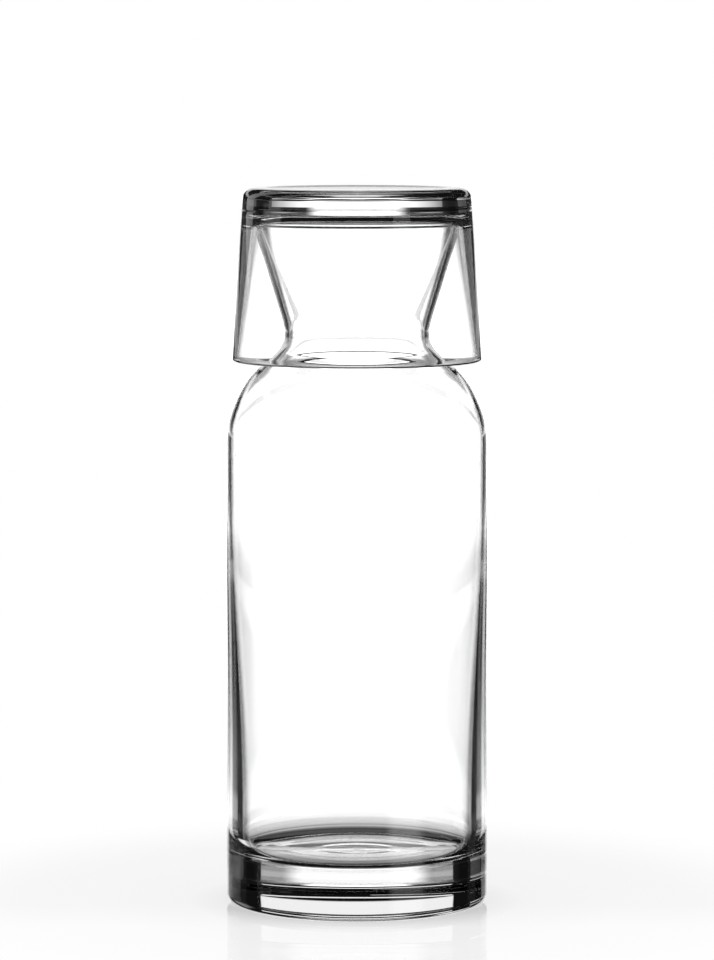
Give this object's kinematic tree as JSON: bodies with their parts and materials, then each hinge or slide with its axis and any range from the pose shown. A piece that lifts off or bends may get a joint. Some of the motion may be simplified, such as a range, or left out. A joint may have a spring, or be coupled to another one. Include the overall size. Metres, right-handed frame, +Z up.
{
  "type": "carafe with tumbler",
  "caption": "Clear glass carafe with a flared mouth and a thick base, capped by its own upturned clear glass tumbler, which lifts straight off.",
  "frame": {"origin": "middle of the carafe's foot, on the surface it stands on", "axes": "+Z up along the common axis of the carafe and the tumbler; +X and +Y lie in the surface, and the picture looks along +Y"},
  "size_m": [0.0958, 0.0958, 0.2617],
  "materials": {
    "carafe_glass": "polished clear soda-lime glass",
    "tumbler_glass": "polished clear soda-lime glass"
  },
  "bodies": {
    "carafe": {"carafe": "carafe_glass"},
    "tumbler": {"tumbler": "tumbler_glass"}
  },
  "joints": [
    {"name": "tumbler_lift", "type": "slide", "parent": "carafe", "child": "tumbler", "axis": [0, 0, 1], "range_m": [0, 0.06]}
  ]
}
